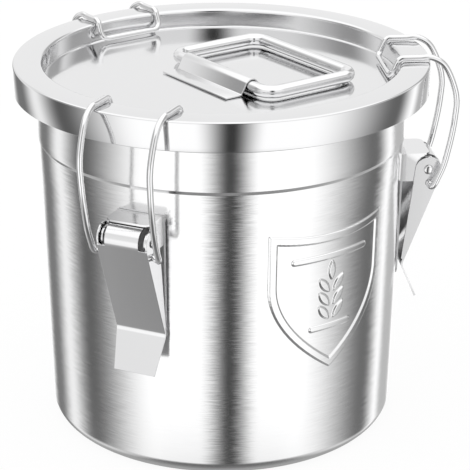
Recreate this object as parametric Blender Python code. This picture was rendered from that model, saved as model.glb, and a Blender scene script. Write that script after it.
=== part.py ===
"""Rice storage container: a round stainless-steel barrel and a dished lid with a folding bail handle,
held shut by three wire toggle latches. Metres, +Z up, with the origin at the middle of the barrel's flat underside.
Azimuths are counted from -Y towards +X."""

import math

import bmesh
import bpy
from mathutils import Matrix, Vector

# Overall sizes
LID_RADIUS = 0.130
LID_TOP = 0.2366
SHEET = 0.0008
GAP = 0.0003

# Lid
RIM_WIDTH = 0.0161
RIM_INNER_BEND = 0.0022
RIM_OUTER_BEND = 0.0013
RECESS_DEPTH = 0.01255
RECESS_FLOOR_BEND = 0.0014
SKIRT_HEIGHT = 0.0182
HEM_WIDTH = 0.0016
HEM_HEIGHT = 0.0020

# Sealing ring and the barrel's mouth below it
SEAL_WIDTH = 0.0105
SEAL_THICKNESS = 0.0030
SEAL_EDGE = 0.0007
MOUTH_PLAY = 0.0026
MOUTH_BEND = 0.0015
LIP_WIDTH = 0.0108
LIP_TURN_DOWN = 0.0038

# Barrel
STEP_DROP = 0.0495
STEP_IN = 0.0010
STEP_HEIGHT = 0.0022
BODY_NARROWING = 0.0037
BASE_BEND = 0.0095

# Embossed shield, midway between the first two latches
SHIELD_HALF_WIDTH = 0.0425
SHIELD_HEIGHT = 0.0925
SHIELD_TOP_BELOW_LID = 0.0772
SHIELD_BORDER = 0.0046
SHIELD_RELIEF = 0.0009
SHIELD_ROOT = 0.0004
SHIELD_TOP_DIP = 0.0040
SHIELD_STRAIGHT_SHARE = 0.36
SHIELD_BAR_WIDTH = 0.0034
SHIELD_BAR_SHARES = ((0.20, 0.66), (0.70, 0.36))
GRAIN_LENGTH_SHARE = 0.135
GRAIN_WIDTH_SHARE = 0.054
GRAIN_SPREAD_SHARE = 0.058
GRAIN_PITCH_SHARE = 0.097
GRAIN_TOP_SHARE = 0.305
GRAIN_PAIRS = 3
GRAIN_LEAN = math.radians(38)

# Latches: every place is measured from the pivot of the lever
LATCH_NAMES = ("latch_a", "latch_b", "latch_c")
FIRST_LATCH_AZIMUTH = math.radians(-24.4)
LATCH_SHEET = 0.0012
PIVOT_OUTSIDE_LID = 0.0014
PIVOT_BELOW_LID = 0.0742
BASE_HALF_WIDTH = 0.0150
BASE_BELOW_PIVOT = 0.0740
BASE_CORNER = 0.0060
HOOD_HALF_WIDTH = 0.0145
HOOD_ABOVE_PIVOT = 0.0105
HOOD_PAST_PIVOT = 0.0010
HOOD_CORNER = 0.0045
EAR_BELOW_PIVOT = 0.0081
EAR_NOSE_RADIUS = 0.0062
EAR_FRONT_BACK = 0.0028
LEVER_HALF_WIDTH = 0.0163
LEVER_ROLL_RADIUS = 0.0088
LEVER_ROLL_HALF_WIDTH = 0.0109
LEVER_ROLL_END = math.radians(100)
LEVER_LEAN = math.radians(20.5)
LEVER_FACE_LENGTH = 0.0662
LEVER_FOLD_BEND = 0.0020
LEVER_TAB_LENGTH = 0.0256
LEVER_TAB_ANGLE = math.radians(-66)
LEVER_TAB_END_SHARE = 0.83
LEVER_FLANGE_RADIUS = 0.0084
LEVER_FLANGE_END = 0.0016
LEVER_SIDE_PLAY = 0.0005

# Pivot rivets
RIVET_RADIUS = 0.0020
RIVET_HEAD_RADIUS = 0.0031
RIVET_HEAD_HEIGHT = 0.0013
RIVET_HEAD_CORNER = 0.0006

# Latch wires
WIRE_RADIUS = 0.0019
WIRE_HOLE_DROP = 0.0088
WIRE_HOLE_OUT = 0.0002
WIRE_HALF_WIDTH = 0.0228
WIRE_FOOT_HALF_WIDTH = 0.0214
WIRE_BOW = 0.0143
WIRE_CORNER = 0.0050
WIRE_BAR_FROM_WALL = 0.0085
WIRE_TURN = 0.0032
WIRE_BAR_LIFT = 0.0011
WIRE_HOOK_BEND = math.radians(52)
FOOT_SHARES = (
    (0.00, 0.12, 0.00),
    (0.14, 0.50, -0.34),
    (0.50, 0.88, -0.34),
    (0.96, 1.00, 0.32),
    (1.32, 1.00, 1.09),
)
LEG_SHARES = (
    (0.56, 0.155),
    (0.73, 0.278),
    (0.89, 0.430),
    (0.97, 0.552),
    (1.00, 0.648),
    (0.90, 0.748),
    (0.57, 0.887),
    (0.26, 0.958),
)
RUN_SHARES = (0.98, 0.60, 0.20)

# Lid handle
HANDLE_ROD_RADIUS = 0.0040
HANDLE_LENGTH = 0.1008
HANDLE_REACH = 0.0670
HANDLE_CORNER = 0.0095
HANDLE_LIFT = 0.0008
HANDLE_ALONG = 0.0086
HANDLE_ACROSS = -0.0077
BRACKET_SHEET = 0.0010
BRACKET_LENGTH = 0.0680
BRACKET_FOOT = 0.0120
BRACKET_FOLD_FROM_ROD = 0.0075
BRACKET_PLAY = 0.0003
BRACKET_CURL_END = math.radians(-42)

# How finely round shapes are cut
AROUND = 64
WIRE_SIDES = 8
ROD_SIDES = 12
RIVET_SIDES = 14
BEND_STEPS = 3
WIRE_TURN_STEP = math.radians(15)
SPLINE_STEPS = 8

# Places that follow from the sizes above
RECESS_RADIUS = LID_RADIUS - RIM_WIDTH - RIM_INNER_BEND
RECESS_FLOOR = LID_TOP - RECESS_DEPTH
MOUTH_RADIUS = RECESS_RADIUS + SHEET + MOUTH_PLAY
BAND_RADIUS = MOUTH_RADIUS + SHEET
SEAL_TOP = LID_TOP - SHEET - GAP
LIP_TOP = SEAL_TOP - SEAL_THICKNESS - GAP
STEP_FOOT = LID_TOP - STEP_DROP
BODY_TOP_RADIUS = BAND_RADIUS - STEP_IN
BODY_BASE_RADIUS = BODY_TOP_RADIUS - BODY_NARROWING
PIVOT_RADIUS = LID_RADIUS + PIVOT_OUTSIDE_LID
PIVOT_HEIGHT = LID_TOP - PIVOT_BELOW_LID
LATCH_TURN = math.tau / len(LATCH_NAMES)
SHIELD_AZIMUTH = FIRST_LATCH_AZIMUTH + LATCH_TURN / 2
HANDLE_AZIMUTH = FIRST_LATCH_AZIMUTH + LATCH_TURN / 2
GRAIN_LENGTH = GRAIN_LENGTH_SHARE * SHIELD_HEIGHT
GRAIN_WIDTH = GRAIN_WIDTH_SHARE * SHIELD_HEIGHT
GRAIN_SPREAD = GRAIN_SPREAD_SHARE * SHIELD_HEIGHT
GRAIN_PITCH = GRAIN_PITCH_SHARE * SHIELD_HEIGHT
GRAIN_TOP_DROP = GRAIN_TOP_SHARE * SHIELD_HEIGHT
HANDLE_AXIS_HEIGHT = RECESS_FLOOR + HANDLE_LIFT + HANDLE_ROD_RADIUS


def body_radius(height):
    """Outer radius of the tapered body at a height."""
    return BODY_BASE_RADIUS + BODY_NARROWING * height / STEP_FOOT


def arc(centre, radius, start, end, steps=BEND_STEPS):
    """Points of a round bend, from one angle to the other."""
    turn = (end - start) / steps
    angles = [start + turn * step for step in range(steps + 1)]
    return [(centre[0] + radius * math.cos(angle), centre[1] + radius * math.sin(angle)) for angle in angles]


def steel(name, colour, roughness):
    """A bare metal finish."""
    return finish(name, colour, roughness, 1.0)


def finish(name, colour, roughness, metallic):
    """A plain Principled finish."""
    material = bpy.data.materials.new(name)
    material.use_nodes = True
    shader = material.node_tree.nodes["Principled BSDF"]
    shader.inputs["Base Color"].default_value = (*colour, 1.0)
    shader.inputs["Roughness"].default_value = roughness
    shader.inputs["Metallic"].default_value = metallic
    return material


def mesh_of(name, points, faces):
    """A mesh from points and faces, with its faces turned outwards."""
    mesh = bpy.data.meshes.new(name)
    mesh.from_pydata(points, [], faces)
    shape = bmesh.new()
    shape.from_mesh(mesh)
    bmesh.ops.recalc_face_normals(shape, faces=shape.faces)
    shape.to_mesh(mesh)
    shape.free()
    return mesh


def turned(name, outline, steps=AROUND):
    """A closed outline of (radius, height) points turned about Z."""
    points = []
    rings = []
    for radius, height in outline:
        if radius == 0:
            rings.append([len(points)] * steps)
            points.append((0, 0, height))
            continue
        rings.append(list(range(len(points), len(points) + steps)))
        for step in range(steps):
            angle = math.tau * step / steps
            points.append((radius * math.cos(angle), radius * math.sin(angle), height))
    faces = []
    for ring, after in zip(rings, rings[1:] + rings[:1]):
        for step in range(steps):
            follow = (step + 1) % steps
            corners = (ring[step], ring[follow], after[follow], after[step])
            face = list(dict.fromkeys(corners))
            if len(face) > 2:
                faces.append(face)
    return mesh_of(name, points, faces)


def extruded(name, outline, start, end):
    """A closed outline of (x, z) points drawn out along Y."""
    count = len(outline)
    points = [(x, start, z) for x, z in outline] + [(x, end, z) for x, z in outline]
    faces = [list(range(count)), list(range(2 * count - 1, count - 1, -1))]
    for index in range(count):
        follow = (index + 1) % count
        faces.append((index, follow, count + follow, count + index))
    return mesh_of(name, points, faces)


def banded(name, rows):
    """A solid from a row of four-cornered sections, each joined to the next and capped at both ends."""
    points = [corner for row in rows for corner in row]
    faces = [(0, 1, 2, 3)]
    for index in range(len(rows) - 1):
        first = 4 * index
        for side in range(4):
            follow = (side + 1) % 4
            faces.append((first + side, first + follow, first + 4 + follow, first + 4 + side))
    last = 4 * (len(rows) - 1)
    faces.append((last + 3, last + 2, last + 1, last))
    return mesh_of(name, points, faces)


def tube(name, path, radius, sides, closed=False):
    """A round bar along a path, whose section is carried along without twisting."""
    path = [Vector(point) for point in path]
    count = len(path)
    ahead = []
    for index in range(count):
        before = path[index - 1] if index or closed else path[0]
        after = path[(index + 1) % count] if index < count - 1 or closed else path[-1]
        ahead.append((after - before).normalized())
    side = ahead[0].orthogonal().normalized()
    points = []
    for index in range(count):
        if index:
            side = ahead[index - 1].rotation_difference(ahead[index]) @ side
        side = (side - side.dot(ahead[index]) * ahead[index]).normalized()
        other = ahead[index].cross(side)
        for step in range(sides):
            angle = math.tau * step / sides
            points.append(path[index] + radius * (math.cos(angle) * side + math.sin(angle) * other))
    faces = []
    for index in range(count if closed else count - 1):
        ring = sides * index
        after = sides * ((index + 1) % count)
        for step in range(sides):
            follow = (step + 1) % sides
            faces.append((ring + step, ring + follow, after + follow, after + step))
    if not closed:
        faces.append(tuple(range(sides)))
        faces.append(tuple(range(len(points) - 1, len(points) - 1 - sides, -1)))
    return mesh_of(name, points, faces)


def smooth_path(knots):
    """A smooth curve through the knots, thinned where it runs straight."""
    knots = [Vector(knot) for knot in knots]
    knots = [2 * knots[0] - knots[1]] + knots + [2 * knots[-1] - knots[-2]]
    points = []
    for before, start, end, after in zip(knots, knots[1:], knots[2:], knots[3:]):
        reach = (end - start).length
        into = (end - before) * reach / ((end - start).length + (start - before).length)
        out = (after - start) * reach / ((after - end).length + (end - start).length)
        for step in range(SPLINE_STEPS):
            share = step / SPLINE_STEPS
            square = share * share
            cube = square * share
            points.append(
                (2 * cube - 3 * square + 1) * start
                + (cube - 2 * square + share) * into
                + (3 * square - 2 * cube) * end
                + (cube - square) * out
            )
    points.append(knots[-2])
    kept = [points[0]]
    for index in range(1, len(points) - 1):
        heading = points[index] - kept[-1]
        if heading.angle(points[index + 1] - points[index]) > WIRE_TURN_STEP / 2:
            kept.append(points[index])
    kept.append(points[-1])
    return kept


def combined(name, first, added=(), removed=()):
    """One mesh from a first body, the bodies that are joined to it and the bodies that are cut from it."""
    body = bpy.data.objects.new(name, first)
    bpy.context.collection.objects.link(body)
    tools = []
    for operation, meshes in (("UNION", added), ("DIFFERENCE", removed)):
        for mesh in meshes:
            tool = bpy.data.objects.new(name + "_tool", mesh)
            bpy.context.collection.objects.link(tool)
            tools.append(tool)
            modifier = body.modifiers.new(operation.lower(), "BOOLEAN")
            modifier.operation = operation
            modifier.solver = "EXACT"
            modifier.object = tool
    evaluated = body.evaluated_get(bpy.context.evaluated_depsgraph_get())
    mesh = bpy.data.meshes.new_from_object(evaluated)
    for helper in [body, *tools]:
        bpy.data.objects.remove(helper)
    mesh.name = name
    return mesh


def placed(name, mesh, material, parent=None, location=(0, 0, 0)):
    """A named sub-part, shaded smooth but for its corners, in its place under its parent."""
    mesh.materials.clear()
    mesh.materials.append(material)
    mesh.shade_smooth()
    mesh.set_sharp_from_angle(angle=math.radians(32))
    part = bpy.data.objects.new(name, mesh)
    bpy.context.collection.objects.link(part)
    part.parent = parent
    part.location = location
    return part


def seat(name, location, turn):
    """An empty that carries pieces at a place and a turn about Z."""
    empty = bpy.data.objects.new(name, None)
    bpy.context.collection.objects.link(empty)
    empty.location = location
    empty.rotation_euler = (0, 0, turn)
    return empty


def lid_mesh():
    """Dished pan, flat rim and skirt, drawn from one sheet, with a small hem inside the skirt's edge."""
    wall = RECESS_RADIUS
    inner = LID_RADIUS - SHEET
    skirt_foot = LID_TOP - SKIRT_HEIGHT
    quarter = math.pi / 2
    outline = [(0, RECESS_FLOOR)]
    outline += arc(
        (wall - RECESS_FLOOR_BEND, RECESS_FLOOR + RECESS_FLOOR_BEND), RECESS_FLOOR_BEND, -quarter, 0, 2
    )
    outline += arc((wall + RIM_INNER_BEND, LID_TOP - RIM_INNER_BEND), RIM_INNER_BEND, math.pi, quarter)
    outline += arc((LID_RADIUS - RIM_OUTER_BEND, LID_TOP - RIM_OUTER_BEND), RIM_OUTER_BEND, quarter, 0)
    outline += [(LID_RADIUS, skirt_foot), (inner - HEM_WIDTH, skirt_foot)]
    outline += [(inner - HEM_WIDTH, skirt_foot + HEM_HEIGHT), (inner, skirt_foot + HEM_HEIGHT)]
    outline += [(inner, LID_TOP - RIM_OUTER_BEND), (LID_RADIUS - RIM_OUTER_BEND, LID_TOP - SHEET)]
    outline += arc(
        (wall + RIM_INNER_BEND, LID_TOP - RIM_INNER_BEND), RIM_INNER_BEND - SHEET, quarter, math.pi, 2
    )
    outline += arc(
        (wall - RECESS_FLOOR_BEND, RECESS_FLOOR + RECESS_FLOOR_BEND),
        RECESS_FLOOR_BEND + SHEET,
        0,
        -quarter,
        2,
    )
    outline += [(0, RECESS_FLOOR - SHEET)]
    return turned("lid", outline)


def seal_mesh():
    """Flat ring with softened edges, between the rim's underside and the barrel's lip."""
    inner = MOUTH_RADIUS + MOUTH_BEND
    outer = inner + SEAL_WIDTH
    base = SEAL_TOP - SEAL_THICKNESS
    outline = [(inner, base + SEAL_EDGE), (inner, SEAL_TOP - SEAL_EDGE), (inner + SEAL_EDGE, SEAL_TOP)]
    outline += [(outer - SEAL_EDGE, SEAL_TOP), (outer, SEAL_TOP - SEAL_EDGE), (outer, base + SEAL_EDGE)]
    outline += [(outer - SEAL_EDGE, base), (inner + SEAL_EDGE, base)]
    return turned("lid_seal", outline)


def barrel_mesh():
    """Lipped mouth, straight band, small step, tapered body and flat floor, with the shield pressed into the body."""
    quarter = math.pi / 2
    lip_edge = MOUTH_RADIUS + LIP_WIDTH
    lip_foot = LIP_TOP - LIP_TURN_DOWN
    fold = SHEET / 2
    base_bend_radius = body_radius(BASE_BEND) - BASE_BEND
    outline = [(0, 0)]
    outline += arc((base_bend_radius, BASE_BEND), BASE_BEND, -quarter, 0)
    outline += [(BODY_TOP_RADIUS, STEP_FOOT), (BAND_RADIUS, STEP_FOOT + STEP_HEIGHT)]
    outline += arc((BAND_RADIUS + MOUTH_BEND, LIP_TOP - SHEET - MOUTH_BEND), MOUTH_BEND, math.pi, quarter, 2)
    outline += [(lip_edge - SHEET - fold, LIP_TOP - SHEET), (lip_edge - SHEET, LIP_TOP - SHEET - fold)]
    outline += [(lip_edge - SHEET, lip_foot), (lip_edge, lip_foot)]
    outline += [(lip_edge, LIP_TOP - SHEET), (lip_edge - SHEET, LIP_TOP)]
    outline += arc(
        (BAND_RADIUS + MOUTH_BEND, LIP_TOP - SHEET - MOUTH_BEND), MOUTH_BEND + SHEET, quarter, math.pi, 2
    )
    outline += [(MOUTH_RADIUS, STEP_FOOT + STEP_HEIGHT), (BODY_TOP_RADIUS - SHEET, STEP_FOOT)]
    outline += arc((base_bend_radius, BASE_BEND), BASE_BEND - SHEET, 0, -quarter, 2)
    outline += [(0, SHEET)]
    return combined("barrel", turned("barrel_shell", outline), added=shield_meshes())


def on_body(across, down, relief):
    """A point of the shield, by its distance across and down from the shield's top middle and out of the body."""
    height = LID_TOP - SHIELD_TOP_BELOW_LID - down
    radius = body_radius(height)
    azimuth = SHIELD_AZIMUTH + across / radius
    radius += relief
    return (radius * math.sin(azimuth), -radius * math.cos(azimuth), height)


def raised(first_edge, second_edge, closed):
    """Points and faces of a strip that stands out of the body between two edges."""
    points = []
    for left, right in zip(first_edge, second_edge):
        points += [on_body(*left, -SHIELD_ROOT), on_body(*left, SHIELD_RELIEF)]
        points += [on_body(*right, SHIELD_RELIEF), on_body(*right, -SHIELD_ROOT)]
    sections = len(first_edge)
    faces = []
    for index in range(sections if closed else sections - 1):
        first = 4 * index
        after = 4 * ((index + 1) % sections)
        for side in range(4):
            follow = (side + 1) % 4
            faces.append((first + side, first + follow, after + follow, after + side))
    if not closed:
        faces.append((0, 1, 2, 3))
        faces.append(tuple(range(len(points) - 1, len(points) - 5, -1)))
    return points, faces


def shield_outline(inset):
    """Loop of a shield that has a dipped top, straight upper sides and a pointed foot."""
    half = SHIELD_HALF_WIDTH - inset
    top = inset
    tall = SHIELD_HEIGHT - inset - 2 * inset
    straight = SHIELD_STRAIGHT_SHARE * tall
    steps = 2 * BEND_STEPS
    loop = []
    for step in range(-steps, steps):
        share = step / steps
        loop.append((half * share, top + SHIELD_TOP_DIP * (1 - share * share)))
    side = [(half, top), (half, top + straight)]
    for step in range(1, steps):
        share = step / steps
        side.append((half * (1 - share * share), top + straight + (tall - straight) * share))
    loop += side
    loop.append((0, top + tall))
    loop += [(-across, down) for across, down in reversed(side[1:])]
    return loop


def grain(across, down, lean):
    """One grain of the ear, by the place of its middle and its lean."""
    edges = ([], [])
    steps = 2 * BEND_STEPS
    for step in range(1, steps):
        along = step / steps
        half = GRAIN_WIDTH / 2 * math.sin(math.pi * along)
        reach = GRAIN_LENGTH * (along - 1 / 2)
        for edge, out in zip(edges, (-half, half)):
            across_here = across + out * math.cos(lean) - reach * math.sin(lean)
            edge.append((across_here, down + out * math.sin(lean) + reach * math.cos(lean)))
    return raised(*edges, False)


def shield_meshes():
    """Raised border, two bars and an ear of grain between them."""
    strips = [raised(shield_outline(0), shield_outline(SHIELD_BORDER), True)]
    steps = 2 * BEND_STEPS
    for height_share, length_share in SHIELD_BAR_SHARES:
        middle = height_share * SHIELD_HEIGHT
        places = [length_share * SHIELD_HALF_WIDTH * step / steps for step in range(-steps, steps + 1)]
        upper = [(across, middle - SHIELD_BAR_WIDTH / 2) for across in places]
        lower = [(across, middle + SHIELD_BAR_WIDTH / 2) for across in places]
        strips.append(raised(upper, lower, False))
    strips.append(grain(0, GRAIN_TOP_DROP, 0))
    for pair in range(GRAIN_PAIRS):
        down = GRAIN_TOP_DROP + GRAIN_PITCH * (pair + 1)
        strips.append(grain(-GRAIN_SPREAD, down, -GRAIN_LEAN))
        strips.append(grain(GRAIN_SPREAD, down, GRAIN_LEAN))
    return [mesh_of("shield", points, faces) for points, faces in strips]


def latch_back(drop):
    """How far behind the pivot the middle of the base plate's sheet lies, at a drop below the pivot."""
    return PIVOT_RADIUS - body_radius(PIVOT_HEIGHT - drop) - GAP - LATCH_SHEET / 4


def bracket_mesh():
    """Base plate that follows the body, with the hood and the two ears that carry the lever."""
    rows = []
    steps = 2 * BEND_STEPS
    for step in range(-steps, steps + 1):
        out = BASE_HALF_WIDTH * step / steps
        corner = max(0, abs(out) - BASE_HALF_WIDTH + BASE_CORNER)
        row = []
        for height, radius_add in (
            (HOOD_ABOVE_PIVOT, GAP),
            (HOOD_ABOVE_PIVOT, GAP + LATCH_SHEET),
            (corner - BASE_BELOW_PIVOT, GAP + LATCH_SHEET),
            (corner - BASE_BELOW_PIVOT, GAP),
        ):
            radius = body_radius(PIVOT_HEIGHT + height) + radius_add
            azimuth = out / body_radius(PIVOT_HEIGHT)
            row.append((radius * math.cos(azimuth) - PIVOT_RADIUS, radius * math.sin(azimuth), height))
        rows.append(row)
    base = banded("base_plate", rows)
    back = -latch_back(-HOOD_ABOVE_PIVOT)
    hood_outline = [(back, -HOOD_HALF_WIDTH)]
    for side in (-1, 1):
        centre = (HOOD_PAST_PIVOT - HOOD_CORNER, side * (HOOD_HALF_WIDTH - HOOD_CORNER))
        start = side * math.pi / 4 - math.pi / 4
        hood_outline += arc(centre, HOOD_CORNER, start, start + math.pi / 2)
    hood_outline.append((back, HOOD_HALF_WIDTH))
    hood = extruded("hood", hood_outline, 0, LATCH_SHEET)
    hood.transform(Matrix.Translation((0, 0, HOOD_ABOVE_PIVOT - LATCH_SHEET)) @ Matrix.Rotation(math.pi / 2, 4, "X"))
    ear_top = HOOD_ABOVE_PIVOT - LATCH_SHEET / 2
    nose_start = math.pi / 2 + math.asin(EAR_FRONT_BACK / 2 / EAR_NOSE_RADIUS)
    ear_outline = [(-latch_back(-ear_top), ear_top), (-EAR_FRONT_BACK, ear_top)]
    ear_outline += arc((0, 0), EAR_NOSE_RADIUS, nose_start, -math.pi / 2, 3 * BEND_STEPS)
    ear_outline += [(-EAR_NOSE_RADIUS, -EAR_BELOW_PIVOT), (-latch_back(EAR_BELOW_PIVOT), -EAR_BELOW_PIVOT)]
    inner = HOOD_HALF_WIDTH - LATCH_SHEET
    ears = [extruded("ear", ear_outline, side * inner, side * HOOD_HALF_WIDTH) for side in (-1, 1)]
    hole = cross_pin("pivot_hole", (0, 0), RIVET_RADIUS + GAP, HOOD_HALF_WIDTH + LATCH_SHEET)
    return combined("latch_bracket", base, added=[hood, *ears], removed=[hole])


def cross_pin(name, centre, radius, half_length):
    """A round bar across the latch, at (x, z)."""
    outline = arc(centre, radius, 0, math.tau * (RIVET_SIDES - 1) / RIVET_SIDES, RIVET_SIDES - 1)
    return extruded(name, outline, -half_length, half_length)


def lever_mesh():
    """Lever folded from one sheet: roll over the pivot, face, finger tab and two tapering flanges."""
    lean = -LEVER_LEAN
    down = Vector((math.sin(lean), -math.cos(lean)))
    outward = Vector((math.cos(lean), math.sin(lean)))
    tab_ahead = Vector((math.cos(LEVER_TAB_ANGLE), math.sin(LEVER_TAB_ANGLE)))
    tab_out = Vector((-tab_ahead.y, tab_ahead.x))
    face_start = LEVER_ROLL_RADIUS * outward
    fold = face_start + LEVER_FACE_LENGTH * down
    tab_end = fold + LEVER_TAB_LENGTH * tab_ahead
    fold_start = fold - LEVER_FOLD_BEND * down
    fold_end = fold + LEVER_FOLD_BEND * tab_ahead
    fold_out = (outward + tab_out).normalized()
    middle = (fold_start + fold_end + 2 * fold) / 4

    def section(outer, inward, half_width):
        inner = outer - LATCH_SHEET * inward
        return [
            (outer.x, -half_width, outer.y),
            (outer.x, half_width, outer.y),
            (inner.x, half_width, inner.y),
            (inner.x, -half_width, inner.y),
        ]

    rows = [section(face_start, outward, LEVER_HALF_WIDTH), section(fold_start, outward, LEVER_HALF_WIDTH)]
    rows.append(section(middle, fold_out, LEVER_HALF_WIDTH))
    rows.append(section(fold_end, tab_out, LEVER_HALF_WIDTH))
    rows.append(section(tab_end, tab_out, LEVER_HALF_WIDTH * LEVER_TAB_END_SHARE))
    face = banded("lever_face", rows)
    steps = 4 * BEND_STEPS
    rows = [section(face_start + LEVER_FOLD_BEND * down, outward, LEVER_ROLL_HALF_WIDTH)]
    for step in range(steps + 1):
        angle = lean + (LEVER_ROLL_END - lean) * step / steps
        away = Vector((math.cos(angle), math.sin(angle)))
        rows.append(section(LEVER_ROLL_RADIUS * away, away, LEVER_ROLL_HALF_WIDTH))
    roll = banded("lever_roll", rows)
    seam = LATCH_SHEET / 2 * outward
    flange_foot = fold_start - seam - LEVER_FLANGE_END * down
    flange_outline = [tuple(face_start - seam + LEVER_FOLD_BEND * down), tuple(flange_foot)]
    flange_outline.append(tuple(flange_foot - LEVER_FLANGE_END * outward))
    flange_outline += arc((0, 0), LEVER_FLANGE_RADIUS, math.pi, lean + math.pi / 7, 3 * BEND_STEPS)
    flange_outline.append(tuple(face_start - seam))
    inner = LEVER_HALF_WIDTH - LATCH_SHEET
    flanges = [
        extruded("lever_flange", flange_outline, side * inner, side * LEVER_HALF_WIDTH) for side in (-1, 1)
    ]
    across = LEVER_HALF_WIDTH + LATCH_SHEET
    holes = [cross_pin("pivot_hole", (0, 0), RIVET_RADIUS + GAP, across)]
    holes.append(cross_pin("wire_hole", (WIRE_HOLE_OUT, -WIRE_HOLE_DROP), WIRE_RADIUS + GAP, across))
    for index, hole in enumerate(holes):
        holes[index] = combined("flange_holes", hole, removed=[slab_between_flanges(inner)])
    return combined("latch_lever", face, added=[roll, *flanges], removed=holes)


def slab_between_flanges(half_width):
    """The space between the flanges, which their holes leave alone."""
    reach = LEVER_FACE_LENGTH
    outline = [(-reach, -reach), (reach, -reach), (reach, reach), (-reach, reach)]
    return extruded("between_flanges", outline, -half_width, half_width)


def wire_mesh():
    """Sprung wire: its ends turn in through the flanges, its legs bow out round the lid's edge, and its closed end
    hooks over the rim into the recess."""
    foot = Vector((WIRE_HOLE_OUT, 0, -WIRE_HOLE_DROP))
    run_height = LID_TOP + WIRE_RADIUS + GAP - PIVOT_HEIGHT
    inner_side = LEVER_HALF_WIDTH - LATCH_SHEET - LEVER_SIDE_PLAY / 2
    knots = [foot + Vector((0, inner_side, 0)), foot + Vector((0, LEVER_HALF_WIDTH, 0))]
    for out_share, side_share, up_share in FOOT_SHARES:
        side = LEVER_HALF_WIDTH + (WIRE_FOOT_HALF_WIDTH - LEVER_HALF_WIDTH) * side_share
        knots.append(foot + Vector((WIRE_TURN * out_share, side, WIRE_TURN * up_share)))
    rise = run_height - foot.z
    for out_share, height_share in LEG_SHARES:
        side = WIRE_FOOT_HALF_WIDTH + (WIRE_HALF_WIDTH - WIRE_FOOT_HALF_WIDTH) * height_share
        knots.append(Vector((foot.x + WIRE_BOW * out_share, side, foot.z + rise * height_share)))
    bend = RIM_INNER_BEND + WIRE_RADIUS + GAP
    wire_side = WIRE_HALF_WIDTH + WIRE_RADIUS
    rim_edge = math.sqrt((RECESS_RADIUS + RIM_INNER_BEND) ** 2 - wire_side**2) - PIVOT_RADIUS
    run_length = LID_RADIUS - RIM_OUTER_BEND - PIVOT_RADIUS - rim_edge
    for share in RUN_SHARES:
        knots.append(Vector((rim_edge + run_length * share, WIRE_HALF_WIDTH, run_height)))
    quarter = math.pi / 2
    for x, z in arc((rim_edge, run_height - bend), bend, quarter, quarter + WIRE_HOOK_BEND):
        knots.append(Vector((x, WIRE_HALF_WIDTH, z)))
    slope_top = knots[-1]
    bar_place = RECESS_RADIUS - WIRE_BAR_FROM_WALL - PIVOT_RADIUS
    bar_height = RECESS_FLOOR + WIRE_RADIUS + WIRE_BAR_LIFT - PIVOT_HEIGHT
    corner = Vector((bar_place, WIRE_HALF_WIDTH, bar_height))
    towards = (slope_top - corner).normalized()
    knots.append(corner + towards * WIRE_CORNER * 3 / 2)
    knots.append(corner + towards * WIRE_CORNER)
    sideways = Vector((0, -1, 0))
    for step in range(1, BEND_STEPS):
        angle = quarter * step / BEND_STEPS
        place = towards * (1 - math.sin(angle)) + sideways * (1 - math.cos(angle))
        knots.append(corner + place * WIRE_CORNER)
    knots.append(corner + sideways * WIRE_CORNER)
    knots.append(corner + sideways * WIRE_CORNER * 3 / 2)
    half = smooth_path(knots)
    other = [Vector((point.x, -point.y, point.z)) for point in reversed(half)]
    return tube("latch_wire", half + other, WIRE_RADIUS, WIRE_SIDES)


def rivet_mesh():
    """Headed pin through a lever flange and a bracket ear, turned about its own axis."""
    ear_inner = HOOD_HALF_WIDTH - LATCH_SHEET - GAP
    flange_outer = LEVER_HALF_WIDTH + GAP
    top = flange_outer + RIVET_HEAD_HEIGHT
    base = ear_inner - RIVET_HEAD_HEIGHT
    head = RIVET_HEAD_RADIUS
    edge = RIVET_HEAD_CORNER
    outline = [(0, base), (head - edge, base), (head, base + edge), (head, ear_inner)]
    outline += [(RIVET_RADIUS, ear_inner), (RIVET_RADIUS, flange_outer), (head, flange_outer)]
    outline += [(head, top - edge), (head - edge, top), (0, top)]
    return turned("latch_rivet", outline, RIVET_SIDES)


def handle_bracket_mesh():
    """Foot welded to the lid, with a web that slants up and curls over the handle's rod. X runs away from the foot,
    Y along the rod."""
    inner = HANDLE_ROD_RADIUS + BRACKET_PLAY
    outer = inner + BRACKET_SHEET
    foot_base = GAP - HANDLE_LIFT - HANDLE_ROD_RADIUS
    foot_top = foot_base + BRACKET_SHEET
    fold = Vector((-BRACKET_FOLD_FROM_ROD, foot_base))
    start = math.tau + math.atan2(fold.y, fold.x) - math.acos(inner / fold.length)
    away = Vector((math.cos(start), math.sin(start)))
    down = (fold - inner * away).normalized()
    fold_top = outer * away + down * (foot_top - outer * away.y) / down.y
    steps = 4 * BEND_STEPS
    outline = [(fold.x - BRACKET_FOOT, foot_base), tuple(fold)]
    outline += arc((0, 0), inner, start, BRACKET_CURL_END, steps)
    outline += arc((0, 0), outer, BRACKET_CURL_END, start, steps)
    outline += [tuple(fold_top), (fold.x - BRACKET_FOOT, foot_top)]
    return extruded("handle_bracket", outline, -BRACKET_LENGTH / 2, BRACKET_LENGTH / 2)


def handle_mesh():
    """Round rod bent into a rectangle, whose near side lies in the bracket's curl."""
    half = HANDLE_LENGTH / 2 - HANDLE_CORNER
    far = HANDLE_REACH - HANDLE_CORNER
    quarter = math.pi / 2
    loop = []
    corners = ((far, half), (HANDLE_CORNER, half), (HANDLE_CORNER, -half), (far, -half))
    for index, corner in enumerate(corners):
        loop += arc(corner, HANDLE_CORNER, index * quarter, (index + 1) * quarter, 2 * BEND_STEPS)
    path = [(x, y, 0) for x, y in loop]
    return tube("handle", path, HANDLE_ROD_RADIUS, ROD_SIDES, closed=True)


for old in list(bpy.data.objects):
    bpy.data.objects.remove(old)

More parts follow.
